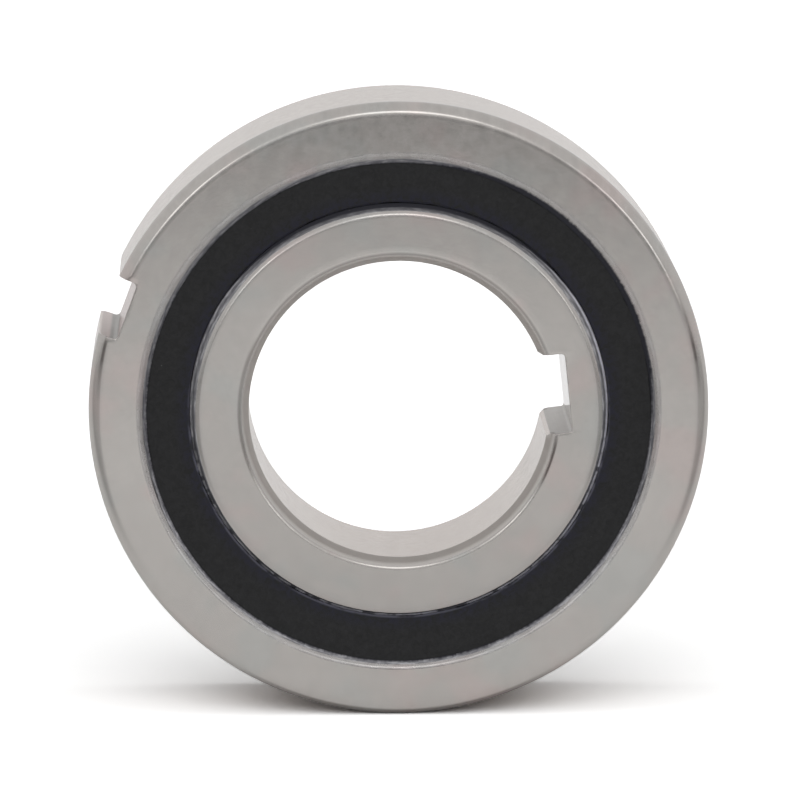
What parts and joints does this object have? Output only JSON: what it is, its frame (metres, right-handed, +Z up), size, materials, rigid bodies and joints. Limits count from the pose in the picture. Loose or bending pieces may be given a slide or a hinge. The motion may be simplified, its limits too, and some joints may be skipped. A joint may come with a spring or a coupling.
{
  "type": "sprag clutch",
  "caption": "Keyed one-way bearing: an inner ring that turns freely one way in a notched outer ring and is locked the other way by sprags, with balls and rubber seals.",
  "frame": {"origin": "on the axis of the bore, midway between the two faces", "axes": "Y along the axis of rotation with the front face towards -Y, +Z up; seen from the front, angles are counter-clockwise from +X, the keyway is at 6 degrees and the driving notch at 159.5 degrees"},
  "size_m": [0.062, 0.016, 0.062],
  "materials": {
    "ring_steel": "fine ground",
    "ball_steel": "polished",
    "sprag_steel": "tumbled and lapped",
    "spring_steel": "drawn wire",
    "core_steel": "rolled sheet",
    "cage_polyamide": "moulded, glass filled",
    "sprag_cage_polyamide": "moulded, glass filled",
    "seal_rubber": "matt moulded"
  },
  "bodies": {
    "outer_ring": {"outer_ring": "ring_steel", "front_seal": "seal_rubber", "front_seal_core": "core_steel", "rear_seal": "seal_rubber", "rear_seal_core": "core_steel"},
    "inner_ring": {"inner_ring": "ring_steel"},
    "ball_cage": {"ball_cage": "cage_polyamide"},
    "sprag_cage": {"sprag_cage": "sprag_cage_polyamide", "energizing_spring": "spring_steel"},
    "ball_01": {"ball_01": "ball_steel"},
    "ball_02": {"ball_02": "ball_steel"},
    "ball_03": {"ball_03": "ball_steel"},
    "ball_04": {"ball_04": "ball_steel"},
    "ball_05": {"ball_05": "ball_steel"},
    "ball_06": {"ball_06": "ball_steel"},
    "ball_07": {"ball_07": "ball_steel"},
    "ball_08": {"ball_08": "ball_steel"},
    "ball_09": {"ball_09": "ball_steel"},
    "ball_10": {"ball_10": "ball_steel"},
    "ball_11": {"ball_11": "ball_steel"},
    "ball_12": {"ball_12": "ball_steel"},
    "ball_13": {"ball_13": "ball_steel"},
    "sprag_01": {"sprag_01": "sprag_steel"},
    "sprag_02": {"sprag_02": "sprag_steel"},
    "sprag_03": {"sprag_03": "sprag_steel"},
    "sprag_04": {"sprag_04": "sprag_steel"},
    "sprag_05": {"sprag_05": "sprag_steel"},
    "sprag_06": {"sprag_06": "sprag_steel"},
    "sprag_07": {"sprag_07": "sprag_steel"},
    "sprag_08": {"sprag_08": "sprag_steel"},
    "sprag_09": {"sprag_09": "sprag_steel"},
    "sprag_10": {"sprag_10": "sprag_steel"},
    "sprag_11": {"sprag_11": "sprag_steel"},
    "sprag_12": {"sprag_12": "sprag_steel"},
    "sprag_13": {"sprag_13": "sprag_steel"},
    "sprag_14": {"sprag_14": "sprag_steel"},
    "sprag_15": {"sprag_15": "sprag_steel"},
    "sprag_16": {"sprag_16": "sprag_steel"},
    "sprag_17": {"sprag_17": "sprag_steel"},
    "sprag_18": {"sprag_18": "sprag_steel"}
  },
  "joints": [
    {"name": "inner_ring_turn", "type": "hinge", "parent": "outer_ring", "child": "inner_ring", "pos_m": [0, 0, 0], "axis": [0, -1, 0], "continuous": true},
    {"name": "ball_cage_turn", "type": "hinge", "parent": "outer_ring", "child": "ball_cage", "pos_m": [0, 0, 0], "axis": [0, -1, 0], "continuous": true},
    {"name": "sprag_cage_turn", "type": "hinge", "parent": "outer_ring", "child": "sprag_cage", "pos_m": [0, 0, 0], "axis": [0, -1, 0], "continuous": true},
    {"name": "ball_01_spin", "type": "hinge", "parent": "ball_cage", "child": "ball_01", "pos_m": [0.023, -0.00275, 0], "axis": [0, -1, 0], "continuous": true},
    {"name": "ball_02_spin", "type": "hinge", "parent": "ball_cage", "child": "ball_02", "pos_m": [0.02037, -0.00275, 0.01069], "axis": [0, -1, 0], "continuous": true},
    {"name": "ball_03_spin", "type": "hinge", "parent": "ball_cage", "child": "ball_03", "pos_m": [0.01307, -0.00275, 0.01893], "axis": [0, -1, 0], "continuous": true},
    {"name": "ball_04_spin", "type": "hinge", "parent": "ball_cage", "child": "ball_04", "pos_m": [0.00277, -0.00275, 0.02283], "axis": [0, -1, 0], "continuous": true},
    {"name": "ball_05_spin", "type": "hinge", "parent": "ball_cage", "child": "ball_05", "pos_m": [-0.00816, -0.00275, 0.02151], "axis": [0, -1, 0], "continuous": true},
    {"name": "ball_06_spin", "type": "hinge", "parent": "ball_cage", "child": "ball_06", "pos_m": [-0.01722, -0.00275, 0.01525], "axis": [0, -1, 0], "continuous": true},
    {"name": "ball_07_spin", "type": "hinge", "parent": "ball_cage", "child": "ball_07", "pos_m": [-0.02233, -0.00275, 0.0055], "axis": [0, -1, 0], "continuous": true},
    {"name": "ball_08_spin", "type": "hinge", "parent": "ball_cage", "child": "ball_08", "pos_m": [-0.02233, -0.00275, -0.0055], "axis": [0, -1, 0], "continuous": true},
    {"name": "ball_09_spin", "type": "hinge", "parent": "ball_cage", "child": "ball_09", "pos_m": [-0.01722, -0.00275, -0.01525], "axis": [0, -1, 0], "continuous": true},
    {"name": "ball_10_spin", "type": "hinge", "parent": "ball_cage", "child": "ball_10", "pos_m": [-0.00816, -0.00275, -0.02151], "axis": [0, -1, 0], "continuous": true},
    {"name": "ball_11_spin", "type": "hinge", "parent": "ball_cage", "child": "ball_11", "pos_m": [0.00277, -0.00275, -0.02283], "axis": [0, -1, 0], "continuous": true},
    {"name": "ball_12_spin", "type": "hinge", "parent": "ball_cage", "child": "ball_12", "pos_m": [0.01307, -0.00275, -0.01893], "axis": [0, -1, 0], "continuous": true},
    {"name": "ball_13_spin", "type": "hinge", "parent": "ball_cage", "child": "ball_13", "pos_m": [0.02037, -0.00275, -0.01069], "axis": [0, -1, 0], "continuous": true},
    {"name": "sprag_01_tilt", "type": "hinge", "parent": "sprag_cage", "child": "sprag_01", "pos_m": [0.023, 0.0036, 0], "axis": [0, -1, 0], "range_deg": [0, 5], "stiffness_Nm_per_rad": 0.002},
    {"name": "sprag_02_tilt", "type": "hinge", "parent": "sprag_cage", "child": "sprag_02", "pos_m": [0.02161, 0.0036, 0.00787], "axis": [0, -1, 0], "range_deg": [0, 5]},
    {"name": "sprag_03_tilt", "type": "hinge", "parent": "sprag_cage", "child": "sprag_03", "pos_m": [0.01762, 0.0036, 0.01478], "axis": [0, -1, 0], "range_deg": [0, 5]},
    {"name": "sprag_04_tilt", "type": "hinge", "parent": "sprag_cage", "child": "sprag_04", "pos_m": [0.0115, 0.0036, 0.01992], "axis": [0, -1, 0], "range_deg": [0, 5]},
    {"name": "sprag_05_tilt", "type": "hinge", "parent": "sprag_cage", "child": "sprag_05", "pos_m": [0.00399, 0.0036, 0.02265], "axis": [0, -1, 0], "range_deg": [0, 5]},
    {"name": "sprag_06_tilt", "type": "hinge", "parent": "sprag_cage", "child": "sprag_06", "pos_m": [-0.00399, 0.0036, 0.02265], "axis": [0, -1, 0], "range_deg": [0, 5]},
    {"name": "sprag_07_tilt", "type": "hinge", "parent": "sprag_cage", "child": "sprag_07", "pos_m": [-0.0115, 0.0036, 0.01992], "axis": [0, -1, 0], "range_deg": [0, 5]},
    {"name": "sprag_08_tilt", "type": "hinge", "parent": "sprag_cage", "child": "sprag_08", "pos_m": [-0.01762, 0.0036, 0.01478], "axis": [0, -1, 0], "range_deg": [0, 5]},
    {"name": "sprag_09_tilt", "type": "hinge", "parent": "sprag_cage", "child": "sprag_09", "pos_m": [-0.02161, 0.0036, 0.00787], "axis": [0, -1, 0], "range_deg": [0, 5]},
    {"name": "sprag_10_tilt", "type": "hinge", "parent": "sprag_cage", "child": "sprag_10", "pos_m": [-0.023, 0.0036, 0], "axis": [0, -1, 0], "range_deg": [0, 5]},
    {"name": "sprag_11_tilt", "type": "hinge", "parent": "sprag_cage", "child": "sprag_11", "pos_m": [-0.02161, 0.0036, -0.00787], "axis": [0, -1, 0], "range_deg": [0, 5]},
    {"name": "sprag_12_tilt", "type": "hinge", "parent": "sprag_cage", "child": "sprag_12", "pos_m": [-0.01762, 0.0036, -0.01478], "axis": [0, -1, 0], "range_deg": [0, 5]},
    {"name": "sprag_13_tilt", "type": "hinge", "parent": "sprag_cage", "child": "sprag_13", "pos_m": [-0.0115, 0.0036, -0.01992], "axis": [0, -1, 0], "range_deg": [0, 5]},
    {"name": "sprag_14_tilt", "type": "hinge", "parent": "sprag_cage", "child": "sprag_14", "pos_m": [-0.00399, 0.0036, -0.02265], "axis": [0, -1, 0], "range_deg": [0, 5]},
    {"name": "sprag_15_tilt", "type": "hinge", "parent": "sprag_cage", "child": "sprag_15", "pos_m": [0.00399, 0.0036, -0.02265], "axis": [0, -1, 0], "range_deg": [0, 5]},
    {"name": "sprag_16_tilt", "type": "hinge", "parent": "sprag_cage", "child": "sprag_16", "pos_m": [0.0115, 0.0036, -0.01992], "axis": [0, -1, 0], "range_deg": [0, 5]},
    {"name": "sprag_17_tilt", "type": "hinge", "parent": "sprag_cage", "child": "sprag_17", "pos_m": [0.01762, 0.0036, -0.01478], "axis": [0, -1, 0], "range_deg": [0, 5]},
    {"name": "sprag_18_tilt", "type": "hinge", "parent": "sprag_cage", "child": "sprag_18", "pos_m": [0.02161, 0.0036, -0.00787], "axis": [0, -1, 0], "range_deg": [0, 5]}
  ],
  "couplings": [
    {"joint": "ball_cage_turn", "follows": "inner_ring_turn", "ratio": 0.43478},
    {"joint": "ball_01_spin", "follows": "inner_ring_turn", "ratio": -3.7681},
    {"joint": "ball_02_spin", "follows": "inner_ring_turn", "ratio": -3.7681},
    {"joint": "ball_03_spin", "follows": "inner_ring_turn", "ratio": -3.7681},
    {"joint": "ball_04_spin", "follows": "inner_ring_turn", "ratio": -3.7681},
    {"joint": "ball_05_spin", "follows": "inner_ring_turn", "ratio": -3.7681},
    {"joint": "ball_06_spin", "follows": "inner_ring_turn", "ratio": -3.7681},
    {"joint": "ball_07_spin", "follows": "inner_ring_turn", "ratio": -3.7681},
    {"joint": "ball_08_spin", "follows": "inner_ring_turn", "ratio": -3.7681},
    {"joint": "ball_09_spin", "follows": "inner_ring_turn", "ratio": -3.7681},
    {"joint": "ball_10_spin", "follows": "inner_ring_turn", "ratio": -3.7681},
    {"joint": "ball_11_spin", "follows": "inner_ring_turn", "ratio": -3.7681},
    {"joint": "ball_12_spin", "follows": "inner_ring_turn", "ratio": -3.7681},
    {"joint": "ball_13_spin", "follows": "inner_ring_turn", "ratio": -3.7681},
    {"joint": "sprag_02_tilt", "follows": "sprag_01_tilt", "ratio": 1},
    {"joint": "sprag_03_tilt", "follows": "sprag_01_tilt", "ratio": 1},
    {"joint": "sprag_04_tilt", "follows": "sprag_01_tilt", "ratio": 1},
    {"joint": "sprag_05_tilt", "follows": "sprag_01_tilt", "ratio": 1},
    {"joint": "sprag_06_tilt", "follows": "sprag_01_tilt", "ratio": 1},
    {"joint": "sprag_07_tilt", "follows": "sprag_01_tilt", "ratio": 1},
    {"joint": "sprag_08_tilt", "follows": "sprag_01_tilt", "ratio": 1},
    {"joint": "sprag_09_tilt", "follows": "sprag_01_tilt", "ratio": 1},
    {"joint": "sprag_10_tilt", "follows": "sprag_01_tilt", "ratio": 1},
    {"joint": "sprag_11_tilt", "follows": "sprag_01_tilt", "ratio": 1},
    {"joint": "sprag_12_tilt", "follows": "sprag_01_tilt", "ratio": 1},
    {"joint": "sprag_13_tilt", "follows": "sprag_01_tilt", "ratio": 1},
    {"joint": "sprag_14_tilt", "follows": "sprag_01_tilt", "ratio": 1},
    {"joint": "sprag_15_tilt", "follows": "sprag_01_tilt", "ratio": 1},
    {"joint": "sprag_16_tilt", "follows": "sprag_01_tilt", "ratio": 1},
    {"joint": "sprag_17_tilt", "follows": "sprag_01_tilt", "ratio": 1},
    {"joint": "sprag_18_tilt", "follows": "sprag_01_tilt", "ratio": 1}
  ]
}
